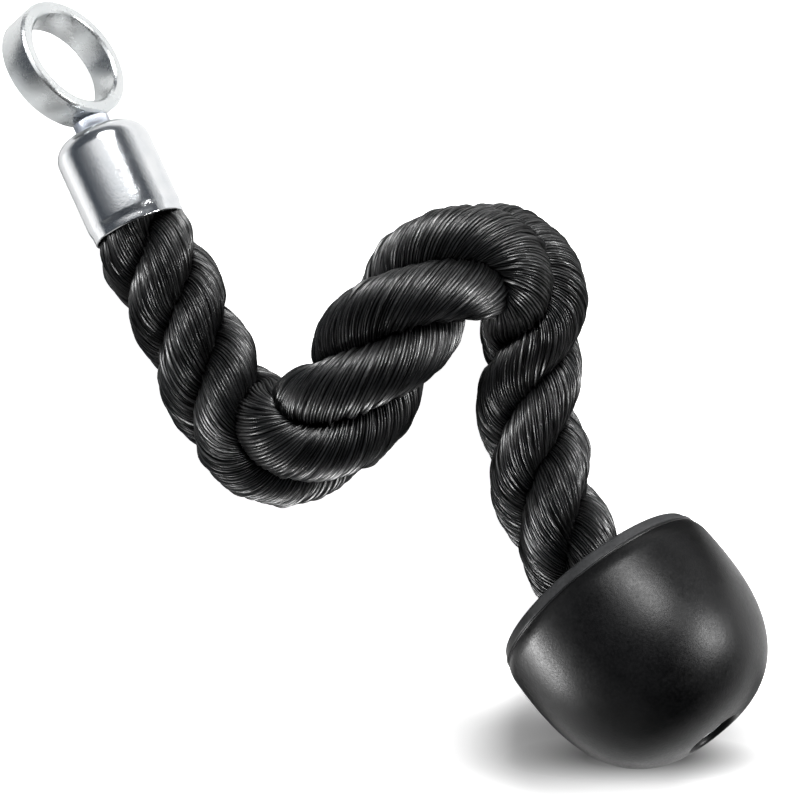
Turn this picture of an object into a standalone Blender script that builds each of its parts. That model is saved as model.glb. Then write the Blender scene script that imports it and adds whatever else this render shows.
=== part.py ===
"""Single-grip triceps rope attachment: swivel eye, crimped steel cup, laid rope and rubber ball stopper.

The attachment lies on its side as it does when it is put down. The cup's axis runs along Y, the eye
is at +Y, and the rope comes back to the ball at -Y over one hump. All lengths are in metres, +Z is up.
"""

import math

import bmesh
import bpy
import numpy as np
from mathutils import Matrix, Vector

# Clearances
SEAT_GAP = 0.0003              # between pieces that touch
RUNNING_GAP = 0.0003           # round the turning shank
CUT_OVERRUN = 0.002            # how far a cutter reaches past what it cuts

# Rope, three strands laid to the right
ROPE_DIAMETER = 0.0344
STRAND_COUNT = 3
STRAND_DIAMETER = 0.0160
STRAND_START_DEG = 49.5        # where the first strand lies at the cup's mouth
ROUTE_STEP = 0.001
RING_STEP = 0.006
STRAND_SIDES = 12

# Free route of the rope's middle line, from the cup's mouth to the ball's parting line
ROUTE = [
    (-0.0616, 0.0795, 0.0220),
    (-0.0614, 0.0550, 0.0192),
    (-0.0607, 0.0218, 0.0193),
    (-0.0537, -0.0074, 0.0245),
    (-0.0318, -0.0141, 0.0390),
    (-0.0050, -0.0003, 0.0510),
    (0.0206, 0.0140, 0.0520),
    (0.0456, 0.0159, 0.0420),
    (0.0557, -0.0030, 0.0265),
    (0.0434, -0.0292, 0.0190),
    (0.0337, -0.0574, 0.0190),
    (0.0303, -0.0848, 0.0262),
    (0.0330, -0.1065, 0.0355),
]

# Thickness along the free length, as (share of that length, share of the nominal thickness): the cup
# and the ball hold the rope tight, and its sharp bends open the lay
GRIPPED_SHARE = 0.91
BALL_GRIP_SHARE = 1.04
THICKNESS = [
    (0.00, GRIPPED_SHARE),
    (0.02, 1.03),
    (0.06, 1.10),
    (0.14, 1.07),
    (0.26, 1.28),
    (0.38, 1.28),
    (0.50, 1.21),
    (0.62, 1.23),
    (0.74, 1.07),
    (0.86, 1.11),
    (1.00, BALL_GRIP_SHARE),
]

# Length of one full turn of a strand, as (share of the free length, length)
LAY_LENGTHS = [
    (0.00, 0.068),
    (0.10, 0.077),
    (0.20, 0.085),
    (0.35, 0.091),
    (1.00, 0.091),
]

# Cup crimped on the rope's upper end
CUP_LENGTH = 0.0380
CUP_WALL = 0.0015
CUP_END_WALL = 0.0030
CUP_SHOULDER_RADIUS = 0.0075
CUP_LIP_RADIUS = 0.0006
CUP_CRIMP_WIDTH = 0.0042       # band at the mouth that the press draws in
CUP_CRIMP_DEPTH = 0.0004

# Swivel eye: a flat band ring on a collared stud
EYE_HOLE_DIAMETER = 0.0346
EYE_WALL = 0.0047
EYE_WIDTH = 0.0134
EYE_CHAMFER = 0.0009
EYE_TURN_DEG = -34.0           # how far the eye is turned about the cup's axis
COLLAR_DIAMETER = 0.0134
COLLAR_HEIGHT = 0.0052
COLLAR_CHAMFER = 0.0004
SPIGOT_DIAMETER = 0.0070       # riveted into the band
SPIGOT_RECESS = 0.0008         # below the band's bore, clear of a hook
SHANK_DIAMETER = 0.0080
SHANK_CHAMFER = 0.0006
SHANK_PAST_NUT = 0.0012

# Thrust washer and lock nut inside the cup
THRUST_WASHER_DIAMETER = 0.0200
THRUST_WASHER_THICKNESS = 0.0016
NUT_ACROSS_FLATS = 0.0130
NUT_HEIGHT = 0.0052
NUT_COLLAR_HEIGHT = 0.0016     # round locking collar on the nut
NUT_COLLAR_DIAMETER = 0.0112

# Rubber ball stopper, heights counted from its parting line along its axis
BALL_YAW_DEG = -76.5
BALL_TIP_DEG = 27.0            # how far the dome is tipped up off the floor
BALL_FACE_DIAMETER = 0.0716
BALL_RIM_DIAMETER = 0.0793
BALL_LIP_HEIGHT = 0.0022       # from the parting line up to the flat face
BALL_BELLY_DIAMETER = 0.0845
BALL_BELLY_HEIGHT = 0.0080
BALL_LENGTH = 0.0610           # parting line to pole
BALL_DOME_POWER = 2.68         # above 2 makes the dome fuller than an ellipse
BALL_POLE_EDGE_RADIUS = 0.0012
RECESS_DIAMETER = 0.0190
RECESS_DEPTH = 0.0075
RECESS_DRAFT = 0.0006

# What holds the ball on the rope's lower end
BALL_WEB = 0.0089              # rubber between the sleeve's pocket and the recess
SLEEVE_LENGTH = 0.0230
SLEEVE_WALL = 0.0017
SLEEVE_END_WALL = 0.0030
SLEEVE_CHAMFER = 0.0005
SCREW_DIAMETER = 0.0060
SCREW_HEAD_DIAMETER = 0.0110
SCREW_HEAD_HEIGHT = 0.0036
SCREW_SOCKET_ACROSS_FLATS = 0.0040
SCREW_SOCKET_DEPTH = 0.0018
SCREW_HEAD_EDGE = 0.0009
END_WASHER_THICKNESS = 0.0014
WASHER_EDGE = 0.0003

# Facet counts
BALL_SEGMENTS = 56
CUP_SEGMENTS = 48
EYE_SEGMENTS = 64
SMALL_SEGMENTS = 28
HOLE_SEGMENTS = 24
HEX_SIDES = 6
ARC_STEPS = 5
DOME_STEPS = 12
SMOOTH_ANGLE_DEG = 32.0
WELD_SHARE = 0.01              # of the smallest edge, for closing a turned solid at its axis
FACING_FLOOR = 0.05            # cosine below which a neighbour strand lies beside, not in the way

# Worked out from the sizes above
ROPE_RADIUS = ROPE_DIAMETER / 2
STRAND_RADIUS = STRAND_DIAMETER / 2
HELIX_RADIUS = ROPE_RADIUS - STRAND_RADIUS
CUP_BORE_RADIUS = ROPE_RADIUS * GRIPPED_SHARE + SEAT_GAP
CUP_RADIUS = CUP_BORE_RADIUS + CUP_WALL
EYE_HOLE_RADIUS = EYE_HOLE_DIAMETER / 2
EYE_RADIUS = EYE_HOLE_RADIUS + EYE_WALL
EYE_HEIGHT = COLLAR_HEIGHT + SEAT_GAP + EYE_RADIUS
SHANK_HOLE_RADIUS = SHANK_DIAMETER / 2 + RUNNING_GAP
WASHER_BOTTOM = -CUP_END_WALL - SEAT_GAP - THRUST_WASHER_THICKNESS
NUT_BOTTOM = WASHER_BOTTOM - SEAT_GAP - NUT_HEIGHT
SHANK_END = NUT_BOTTOM - NUT_COLLAR_HEIGHT - SHANK_PAST_NUT
ROPE_IN_CUP = CUP_LENGTH + SHANK_END - SEAT_GAP
ROPE_EXIT = np.array([0.0, -1.0, 0.0])
SLEEVE_BORE_RADIUS = ROPE_RADIUS * BALL_GRIP_SHARE + SEAT_GAP
SLEEVE_RADIUS = SLEEVE_BORE_RADIUS + SLEEVE_WALL
RECESS_FLOOR = BALL_LENGTH - RECESS_DEPTH
SLEEVE_TOP = RECESS_FLOOR - BALL_WEB - SEAT_GAP
ROPE_IN_BALL = SLEEVE_TOP - SLEEVE_END_WALL - SEAT_GAP
END_WASHER_RADIUS = RECESS_DIAMETER / 2 - RECESS_DRAFT - SEAT_GAP


def clear_scene():
    """Remove every object of the open file."""
    for item in list(bpy.data.objects):
        bpy.data.objects.remove(item, do_unlink=True)


def make_material(name, colour, roughness, metallic):
    """A Principled material with one colour, roughness and metallic value."""
    material = bpy.data.materials.new(name)
    material.use_nodes = True
    shader = material.node_tree.nodes["Principled BSDF"]
    shader.inputs["Base Color"].default_value = (*colour, 1.0)
    shader.inputs["Roughness"].default_value = roughness
    shader.inputs["Metallic"].default_value = metallic
    material.diffuse_color = (*colour, 1.0)
    return material


def make_frame(name, location, z_axis, turn_deg, parent):
    """An empty that carries pieces, with its Z along z_axis, turned about that axis."""
    frame = bpy.data.objects.new(name, None)
    bpy.context.collection.objects.link(frame)
    turn = Matrix.Rotation(math.radians(turn_deg), 4, "Z")
    tilt = Vector(z_axis).to_track_quat("Z", "Y").to_matrix().to_4x4()
    frame.matrix_local = Matrix.Translation(location) @ tilt @ turn
    frame.parent = parent
    return frame


def make_object(name, work, material, parent=None):
    """Turn a bmesh into a shaded object under a parent."""
    bmesh.ops.recalc_face_normals(work, faces=work.faces)
    mesh = bpy.data.meshes.new(name)
    work.to_mesh(mesh)
    work.free()
    mesh.materials.append(material)
    piece = bpy.data.objects.new(name, mesh)
    bpy.context.collection.objects.link(piece)
    piece.parent = parent
    mesh.shade_smooth()
    mesh.set_sharp_from_angle(angle=math.radians(SMOOTH_ANGLE_DEG))
    return piece


def arc_points(centre, radius, start_deg, end_deg, steps=ARC_STEPS):
    """Points (radius, height) of a round corner of a turned profile, both ends included."""
    points = []
    for index in range(steps + 1):
        angle = math.radians(start_deg + (end_deg - start_deg) * index / steps)
        points.append((centre[0] + radius * math.cos(angle), centre[1] + radius * math.sin(angle)))
    return points


def turned(profile, segments):
    """Spin a closed (radius, height) outline about Z into a ring-shaped solid."""
    work = bmesh.new()
    corners = [work.verts.new((radius, 0, height)) for radius, height in profile]
    edges = [work.edges.new((corners[i - 1], corners[i])) for i in range(len(corners))]
    bmesh.ops.spin(work, geom=corners + edges, axis=(0, 0, 1), cent=(0, 0, 0),
                   angle=2 * math.pi, steps=segments, use_merge=True)
    return work


def turned_solid(profile, segments):
    """Spin an open outline whose first and last points lie on the axis."""
    work = bmesh.new()
    corners = [work.verts.new((radius, 0, height)) for radius, height in profile]
    edges = [work.edges.new((corners[i], corners[i + 1])) for i in range(len(corners) - 1)]
    bmesh.ops.spin(work, geom=corners + edges, axis=(0, 0, 1), cent=(0, 0, 0),
                   angle=2 * math.pi, steps=segments, use_merge=True)
    bmesh.ops.remove_doubles(work, verts=work.verts, dist=WASHER_EDGE * WELD_SHARE)
    return work


def cut_with(piece, cutter):
    """Subtract a cutter from a piece with a Boolean modifier."""
    cutter.hide_render = True
    cutter.display_type = "WIRE"
    cut = piece.modifiers.new(cutter.name, "BOOLEAN")
    cut.operation = "DIFFERENCE"
    cut.object = cutter
    cut.solver = "EXACT"


def prism(name, radius, low, high, sides, parent, material):
    """A round or hexagonal prism about Z between two heights."""
    work = bmesh.new()
    bmesh.ops.create_cone(work, cap_ends=True, segments=sides, radius1=radius, radius2=radius,
                          depth=high - low)
    bmesh.ops.translate(work, verts=work.verts, vec=(0, 0, (high + low) / 2))
    return make_object(name, work, material, parent)


def flat_washer(name, outer, inner, low, high, parent, material):
    """A washer with small chamfers on its outer edges."""
    profile = [
        (inner, low),
        (outer - WASHER_EDGE, low),
        (outer, low + WASHER_EDGE),
        (outer, high - WASHER_EDGE),
        (outer - WASHER_EDGE, high),
        (inner, high),
    ]
    return make_object(name, turned(profile, SMALL_SEGMENTS), material, parent)


def unit(vector):
    """A numpy vector at length one."""
    return vector / np.linalg.norm(vector)


def ball_axis():
    """Direction from the ball's face to its pole."""
    yaw = math.radians(BALL_YAW_DEG)
    tip = math.radians(BALL_TIP_DEG)
    return np.array([math.cos(yaw) * math.cos(tip), math.sin(yaw) * math.cos(tip), math.sin(tip)])


def smooth_curve(points, start_direction, end_direction):
    """Points a step apart on the cubic spline through the route, leaving and arriving as given."""
    points = np.array(points)
    spans = np.linalg.norm(np.diff(points, axis=0), axis=1)
    slopes = np.diff(points, axis=0) / spans[:, None]
    count = len(points)
    system = np.zeros((count, count))
    rates = np.zeros((count, 3))
    system[0, 0:2] = 2 * spans[0], spans[0]
    system[-1, -2:] = spans[-1], 2 * spans[-1]
    rates[0] = 6 * (slopes[0] - start_direction)
    rates[-1] = 6 * (end_direction - slopes[-1])
    for i in range(1, count - 1):
        system[i, i - 1:i + 2] = spans[i - 1], 2 * (spans[i - 1] + spans[i]), spans[i]
        rates[i] = 6 * (slopes[i] - slopes[i - 1])
    bends = np.linalg.solve(system, rates)
    curve = []
    for i, span in enumerate(spans):
        steps = max(2, math.ceil(span / ROUTE_STEP))
        along = np.linspace(0, span, steps, endpoint=False)[:, None]
        start_slope = slopes[i] - span * (2 * bends[i] + bends[i + 1]) / 6
        cubic = (bends[i + 1] - bends[i]) / (6 * span)
        curve.append(points[i] + start_slope * along + bends[i] / 2 * along ** 2 + cubic * along ** 3)
    curve.append(points[-1:])
    return np.concatenate(curve)


def straight_run(start, end):
    """Points a step apart on a straight line, without its end."""
    steps = max(2, math.ceil(np.linalg.norm(end - start) / ROUTE_STEP))
    share = np.linspace(0, 1, steps, endpoint=False)[:, None]
    return start + (end - start) * share


def rope_route():
    """The rope's middle line, and how far along the free length each point is, from 0 to 1."""
    mouth = np.array(ROUTE[0])
    face = np.array(ROUTE[-1])
    top = mouth - ROPE_EXIT * ROPE_IN_CUP
    bottom = face + ball_axis() * ROPE_IN_BALL
    free = smooth_curve(ROUTE, ROPE_EXIT, ball_axis())
    upper = straight_run(top, mouth)
    lower = straight_run(face, bottom)[1:]
    line = np.concatenate([upper, free, lower, bottom[None]])
    lengths = np.concatenate([[0], np.cumsum(np.linalg.norm(np.diff(line, axis=0), axis=1))])
    start = lengths[len(upper)]
    end = lengths[len(upper) + len(free) - 1]
    share = np.clip((lengths - start) / (end - start), 0, 1)
    return line, lengths, share, start


def turning_frames(line):
    """Tangents and a pair of crosswise directions that don't twist along the line."""
    tangents = np.gradient(line, axis=0)
    tangents /= np.linalg.norm(tangents, axis=1)[:, None]
    sides = [unit(np.cross(tangents[0], [0, 0, 1]))]
    for tangent in tangents[1:]:
        sides.append(unit(sides[-1] - tangent * np.dot(sides[-1], tangent)))
    sides = np.array(sides)
    return tangents, sides, np.cross(tangents, sides)


def rope_thickness(share):
    """Thickness of the rope along its free length, as a share of its nominal one."""
    places, shares = zip(*THICKNESS)
    return np.interp(share, places, shares)


def lay_length(share):
    """Length of one turn of a strand along the free length."""
    places, turns = zip(*LAY_LENGTHS)
    return np.interp(share, places, turns)


def strand_lines():
    """Middle line of each strand, with the strand's outward direction and its radius."""
    line, lengths, share, start = rope_route()
    _, sides, ups = turning_frames(line)
    thickness = rope_thickness(share)
    turn = np.concatenate([[0], np.cumsum(np.diff(lengths) / lay_length(share[1:]))])
    turn -= np.interp(start, lengths, turn)
    strands = []
    for number in range(STRAND_COUNT):
        angle = 2 * math.pi * (turn + number / STRAND_COUNT) + math.radians(STRAND_START_DEG)
        outward = np.cos(angle)[:, None] * sides + np.sin(angle)[:, None] * ups
        middle = line + outward * (HELIX_RADIUS * thickness)[:, None]
        strands.append((middle, outward, STRAND_RADIUS * thickness))
    return strands


def pressed_reach(middle, directions, radius, neighbours):
    """How far a strand's section reaches each way before it meets halfway to a neighbour."""
    towards = neighbours - middle
    distance = np.linalg.norm(towards, axis=1)
    facing = directions @ (towards / distance[:, None]).T
    halfway = (distance - SEAT_GAP) / 2
    limit = np.where(facing > FACING_FLOOR, halfway / np.maximum(facing, FACING_FLOOR), np.inf)
    return np.minimum(radius, limit.min(axis=1))


def build_strand(number, strands, material):
    """One strand of the rope: a round section swept along its helix, pressed flat by its neighbours."""
    middle, outward, radii = strands[number]
    neighbours = np.concatenate([other[0] for i, other in enumerate(strands) if i != number])
    tangents = np.gradient(middle, axis=0)
    rings = round((len(middle) - 1) * ROUTE_STEP / RING_STEP)
    places = np.unique(np.round(np.linspace(0, len(middle) - 1, rings + 1)).astype(int))
    angles = 2 * math.pi * np.arange(STRAND_SIDES) / STRAND_SIDES
    last = len(middle) - 1
    work = bmesh.new()
    loops = []
    for place in places:
        if place in (0, last):
            axis = ROPE_EXIT if place == 0 else ball_axis()
        else:
            axis = unit(tangents[place])
        first = unit(outward[place] - axis * np.dot(outward[place], axis))
        second = np.cross(axis, first)
        directions = np.cos(angles)[:, None] * first + np.sin(angles)[:, None] * second
        reach = pressed_reach(middle[place], directions, radii[place], neighbours)
        corners = middle[place] + directions * reach[:, None]
        loops.append([work.verts.new(corner) for corner in corners])
    for near, far in zip(loops, loops[1:]):
        for i in range(STRAND_SIDES):
            work.faces.new((near[i - 1], near[i], far[i], far[i - 1]))
    work.faces.new(loops[0])
    work.faces.new(loops[-1])
    return make_object(f"rope_strand_{number + 1}", work, material)


def build_cup(parent, steel):
    """Steel cup: closed, round-shouldered end with the shank's hole, and a mouth drawn in by the press."""
    bore_end = CUP_LENGTH - CUP_END_WALL
    mouth_radius = CUP_RADIUS - CUP_CRIMP_DEPTH
    shoulder = (CUP_RADIUS - CUP_SHOULDER_RADIUS, CUP_LENGTH - CUP_SHOULDER_RADIUS)
    lip_middle = mouth_radius - CUP_LIP_RADIUS
    inner_shoulder = CUP_SHOULDER_RADIUS - CUP_WALL
    inside = (CUP_BORE_RADIUS - inner_shoulder, bore_end - inner_shoulder)
    profile = [(CUP_BORE_RADIUS, CUP_LIP_RADIUS)]
    profile += arc_points((lip_middle, CUP_LIP_RADIUS), CUP_LIP_RADIUS, -90, 0)
    profile.append((mouth_radius, CUP_CRIMP_WIDTH - CUP_CRIMP_DEPTH))
    profile.append((CUP_RADIUS, CUP_CRIMP_WIDTH + CUP_CRIMP_DEPTH))
    profile += arc_points(shoulder, CUP_SHOULDER_RADIUS, 0, 90)
    profile += [(SHANK_HOLE_RADIUS, CUP_LENGTH), (SHANK_HOLE_RADIUS, bore_end)]
    profile += arc_points(inside, inner_shoulder, 90, 0)
    return make_object("cup", turned(profile, CUP_SEGMENTS), steel, parent)


def build_eye_ring(parent, steel):
    """Flat band ring, its axis along the swivel frame's X, with a hole for the stud's spigot."""
    half = EYE_WIDTH / 2
    profile = [
        (EYE_HOLE_RADIUS, half - EYE_CHAMFER),
        (EYE_HOLE_RADIUS, -half + EYE_CHAMFER),
        (EYE_HOLE_RADIUS + EYE_CHAMFER, -half),
        (EYE_RADIUS - EYE_CHAMFER, -half),
        (EYE_RADIUS, -half + EYE_CHAMFER),
        (EYE_RADIUS, half - EYE_CHAMFER),
        (EYE_RADIUS - EYE_CHAMFER, half),
        (EYE_HOLE_RADIUS + EYE_CHAMFER, half),
    ]
    ring = make_object("eye_ring", turned(profile, EYE_SEGMENTS), steel, parent)
    ring.rotation_euler = (0, math.radians(90), 0)
    ring.location = (0, 0, EYE_HEIGHT)
    cutter = prism("spigot_hole_cutter", SPIGOT_DIAMETER / 2 + SEAT_GAP, COLLAR_HEIGHT - CUT_OVERRUN,
                   EYE_HEIGHT - EYE_HOLE_RADIUS + CUT_OVERRUN, HOLE_SEGMENTS, parent, steel)
    cut_with(ring, cutter)
    return ring


def build_eye_stud(parent, steel):
    """Stud that carries the eye: spigot in the band, collar on the cup's end, shank with a nut inside."""
    spigot = SPIGOT_DIAMETER / 2
    shank = SHANK_DIAMETER / 2
    collar = COLLAR_DIAMETER / 2
    spigot_top = EYE_HEIGHT - EYE_HOLE_RADIUS - SPIGOT_RECESS
    profile = [
        (0, SHANK_END),
        (shank - SHANK_CHAMFER, SHANK_END),
        (shank, SHANK_END + SHANK_CHAMFER),
        (shank, SEAT_GAP),
        (collar - COLLAR_CHAMFER, SEAT_GAP),
        (collar, SEAT_GAP + COLLAR_CHAMFER),
        (collar, COLLAR_HEIGHT - COLLAR_CHAMFER),
        (collar - COLLAR_CHAMFER, COLLAR_HEIGHT),
        (spigot, COLLAR_HEIGHT),
        (spigot, spigot_top),
        (0, spigot_top),
    ]
    return make_object("eye_stud", turned_solid(profile, SMALL_SEGMENTS), steel, parent)


def build_lock_nut(parent, steel):
    """Hexagonal lock nut with a round locking collar, bored for the shank."""
    work = bmesh.new()
    hexagon = NUT_ACROSS_FLATS / math.sqrt(3)
    bmesh.ops.create_cone(work, cap_ends=True, segments=HEX_SIDES, radius1=hexagon, radius2=hexagon,
                          depth=NUT_HEIGHT)
    bmesh.ops.translate(work, verts=work.verts, vec=(0, 0, NUT_BOTTOM + NUT_HEIGHT / 2))
    nut = make_object("lock_nut", work, steel, parent)
    collar = prism("nut_collar_form", NUT_COLLAR_DIAMETER / 2, NUT_BOTTOM - NUT_COLLAR_HEIGHT,
                   NUT_BOTTOM + NUT_HEIGHT / 2, HOLE_SEGMENTS, parent, steel)
    collar.hide_render = True
    collar.display_type = "WIRE"
    join = nut.modifiers.new("locking_collar", "BOOLEAN")
    join.operation = "UNION"
    join.object = collar
    join.solver = "EXACT"
    cutter = prism("nut_bore_cutter", SHANK_DIAMETER / 2 + SEAT_GAP,
                   NUT_BOTTOM - NUT_COLLAR_HEIGHT - CUT_OVERRUN, NUT_BOTTOM + NUT_HEIGHT + CUT_OVERRUN,
                   HOLE_SEGMENTS, parent, steel)
    cut_with(nut, cutter)
    return nut


def ball_outline():
    """Outer (radius, height) points of the ball from its flat face to the recess's edge."""
    face = BALL_FACE_DIAMETER / 2
    rim = BALL_RIM_DIAMETER / 2
    belly = BALL_BELLY_DIAMETER / 2
    recess = RECESS_DIAMETER / 2
    dome = BALL_LENGTH - BALL_BELLY_HEIGHT
    points = []
    for index in range(ARC_STEPS + 1):
        turn = math.pi / 2 * index / ARC_STEPS
        points.append((face + (rim - face) * math.sin(turn), -BALL_LIP_HEIGHT * math.cos(turn)))
    points.append(((rim + belly) / 2, BALL_BELLY_HEIGHT / 2))
    for index in range(DOME_STEPS + 1):
        turn = math.pi / 2 * index / DOME_STEPS
        radius = belly * math.cos(turn) ** (2 / BALL_DOME_POWER)
        height = BALL_BELLY_HEIGHT + dome * math.sin(turn) ** (2 / BALL_DOME_POWER)
        if radius > recess + BALL_POLE_EDGE_RADIUS:
            points.append((radius, height))
    edge = recess + BALL_POLE_EDGE_RADIUS
    height = BALL_BELLY_HEIGHT + dome * (1 - (edge / belly) ** BALL_DOME_POWER) ** (1 / BALL_DOME_POWER)
    points.append((edge, height))
    points.append((recess, height - BALL_POLE_EDGE_RADIUS))
    return points


def build_ball(parent, rubber):
    """Rubber ball stopper: flat face and rounded lip, full dome, stepped bore and a recess at the pole."""
    bore = SLEEVE_BORE_RADIUS
    pocket = SLEEVE_RADIUS + SEAT_GAP
    screw = SCREW_DIAMETER / 2 + SEAT_GAP
    pocket_start = SLEEVE_TOP - SLEEVE_LENGTH - SEAT_GAP
    pocket_end = SLEEVE_TOP + SEAT_GAP
    profile = [(bore, pocket_start), (bore, -BALL_LIP_HEIGHT)]
    profile += ball_outline()
    profile += [
        (RECESS_DIAMETER / 2 - RECESS_DRAFT, RECESS_FLOOR),
        (screw, RECESS_FLOOR),
        (screw, pocket_end),
        (pocket, pocket_end),
        (pocket, pocket_start),
    ]
    return make_object("ball_stopper", turned(profile, BALL_SEGMENTS), rubber, parent)


def build_end_sleeve(parent, steel):
    """Sleeve crimped on the rope's lower end inside the ball, its end wall tapped for the screw."""
    low = SLEEVE_TOP - SLEEVE_LENGTH
    inner_end = SLEEVE_TOP - SLEEVE_END_WALL
    screw = SCREW_DIAMETER / 2 + SEAT_GAP
    profile = [
        (SLEEVE_BORE_RADIUS, inner_end),
        (SLEEVE_BORE_RADIUS, low),
        (SLEEVE_RADIUS - SLEEVE_CHAMFER, low),
        (SLEEVE_RADIUS, low + SLEEVE_CHAMFER),
        (SLEEVE_RADIUS, SLEEVE_TOP - SLEEVE_CHAMFER),
        (SLEEVE_RADIUS - SLEEVE_CHAMFER, SLEEVE_TOP),
        (screw, SLEEVE_TOP),
        (screw, inner_end),
    ]
    return make_object("rope_end_sleeve", turned(profile, CUP_SEGMENTS), steel, parent)


def build_end_screw(parent, steel):
    """Socket screw that draws the ball against the sleeve, its head on the washer in the recess."""
    seat = RECESS_FLOOR + SEAT_GAP + END_WASHER_THICKNESS + SEAT_GAP
    shank = SCREW_DIAMETER / 2
    head = SCREW_HEAD_DIAMETER / 2
    top = seat + SCREW_HEAD_HEIGHT
    tip = SLEEVE_TOP - SLEEVE_END_WALL
    profile = [
        (0, tip),
        (shank - SCREW_HEAD_EDGE / 2, tip),
        (shank, tip + SCREW_HEAD_EDGE / 2),
        (shank, seat),
        (head, seat),
        (head, top - SCREW_HEAD_EDGE),
        (head - SCREW_HEAD_EDGE, top),
        (0, top),
    ]
    screw = make_object("end_screw", turned_solid(profile, SMALL_SEGMENTS), steel, parent)
    socket = prism("screw_socket_cutter", SCREW_SOCKET_ACROSS_FLATS / math.sqrt(3),
                   top - SCREW_SOCKET_DEPTH, top + CUT_OVERRUN, HEX_SIDES, parent, steel)
    cut_with(screw, socket)
    return screw


def least_gap(strands):
    """Smallest distance between the middle lines of two strands."""
    least = math.inf
    for number, (middle, _, _) in enumerate(strands):
        for other, _, _ in strands[number + 1:]:
            apart = np.linalg.norm(middle[:, None] - other[None], axis=2)
            least = min(least, apart.min())
    return least


def main():
    """Build the attachment."""
    clear_scene()
    plated = make_material("plated_steel", (0.72, 0.74, 0.76), 0.22, 1.0)
    polished = make_material("polished_cup", (0.78, 0.79, 0.80), 0.16, 1.0)
    zinc = make_material("zinc_steel", (0.55, 0.56, 0.58), 0.40, 1.0)
    fibre = make_material("black_rope", (0.012, 0.012, 0.013), 0.38, 0.0)
    rubber = make_material("black_rubber", (0.016, 0.016, 0.017), 0.45, 0.0)

    cup_frame = make_frame("cup_frame", ROUTE[0], (0, 1, 0), 0, None)
    build_cup(cup_frame, polished)
    swivel = make_frame("eye_swivel", (0, 0, CUP_LENGTH), (0, 0, 1), EYE_TURN_DEG, cup_frame)
    build_eye_ring(swivel, plated)
    build_eye_stud(swivel, plated)
    build_lock_nut(swivel, zinc)
    washer_frame = make_frame("washer_seat", (0, 0, CUP_LENGTH), (0, 0, 1), 0, cup_frame)
    flat_washer("thrust_washer", THRUST_WASHER_DIAMETER / 2, SHANK_HOLE_RADIUS, WASHER_BOTTOM,
                -CUP_END_WALL - SEAT_GAP, washer_frame, zinc)

    strands = strand_lines()
    print("least distance between strand middles, mm:", round(least_gap(strands) * 1000, 2))
    for number in range(STRAND_COUNT):
        build_strand(number, strands, fibre)

    ball_frame = make_frame("ball_frame", ROUTE[-1], ball_axis(), 0, None)
    build_ball(ball_frame, rubber)
    build_end_sleeve(ball_frame, zinc)
    flat_washer("end_washer", END_WASHER_RADIUS, SCREW_DIAMETER / 2 + SEAT_GAP, RECESS_FLOOR + SEAT_GAP,
                RECESS_FLOOR + SEAT_GAP + END_WASHER_THICKNESS, ball_frame, zinc)
    build_end_screw(ball_frame, zinc)


main()
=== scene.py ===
"""Looks of the pulldown rope: swivel eye, steel cup, three-strand rope and rubber ball.

The fittings are modelled with edit-mode operators. The rope's three strands are made in mesh code
along the route of its solids.
"""
import logging
import math
from dataclasses import dataclass
from enum import Enum
from typing import Sequence

import bmesh
import bpy
import numpy as np
from mathutils import Matrix, Vector


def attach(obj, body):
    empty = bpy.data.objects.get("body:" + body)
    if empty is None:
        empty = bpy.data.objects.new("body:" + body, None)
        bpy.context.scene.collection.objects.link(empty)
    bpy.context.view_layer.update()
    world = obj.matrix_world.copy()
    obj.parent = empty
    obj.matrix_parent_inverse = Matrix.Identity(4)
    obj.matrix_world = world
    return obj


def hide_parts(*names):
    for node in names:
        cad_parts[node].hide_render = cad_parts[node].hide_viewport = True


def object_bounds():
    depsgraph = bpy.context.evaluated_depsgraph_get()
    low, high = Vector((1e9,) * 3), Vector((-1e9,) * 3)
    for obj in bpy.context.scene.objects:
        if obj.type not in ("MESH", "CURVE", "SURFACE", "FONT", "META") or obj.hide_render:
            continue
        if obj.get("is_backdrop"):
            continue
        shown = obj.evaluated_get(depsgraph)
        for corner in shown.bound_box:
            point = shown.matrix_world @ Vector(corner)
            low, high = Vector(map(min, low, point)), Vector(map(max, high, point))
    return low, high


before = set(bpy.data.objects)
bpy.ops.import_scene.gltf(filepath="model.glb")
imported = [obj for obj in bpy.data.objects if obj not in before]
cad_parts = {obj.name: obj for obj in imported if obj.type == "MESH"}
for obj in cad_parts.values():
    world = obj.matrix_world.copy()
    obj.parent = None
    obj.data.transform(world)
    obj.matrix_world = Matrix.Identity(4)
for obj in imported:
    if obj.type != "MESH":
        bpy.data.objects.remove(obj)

LOG = logging.getLogger("rope_grip_scene")

Pair = tuple[float, float]
Triple = tuple[float, float, float]
Profile = list[Pair]
Piece = bpy.types.Object
Socket = bpy.types.NodeSocket
Number = float | Socket
Rows = np.ndarray
Strand = tuple[Rows, Rows, Rows]


class Slot(Enum):
    """Names of the material slots."""

    PLATED = "plated_steel"
    POLISHED = "polished_cup"
    ZINC = "zinc_steel"
    ROPE = "black_rope"
    RUBBER = "black_rubber"


class Seen(Enum):
    """What a lamp is for: light and reflections, reflections alone, or light alone."""

    WHOLE = "light and reflections"
    MIRRORED = "reflections"
    MATTE = "light"


class Body(Enum):
    """Bodies that pieces ride on."""

    GRIP = "rope_grip"
    SWIVEL = "swivel_eye"


def placed(origin: Sequence[float], z_axis: Sequence[float]) -> Matrix:
    """Matrix of a piece's own frame, with its origin and the direction of its Z in the row frame."""
    tilt = Vector(z_axis).to_track_quat("Z", "Y").to_matrix().to_4x4()
    return Matrix.Translation(Vector(origin)) @ tilt


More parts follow.
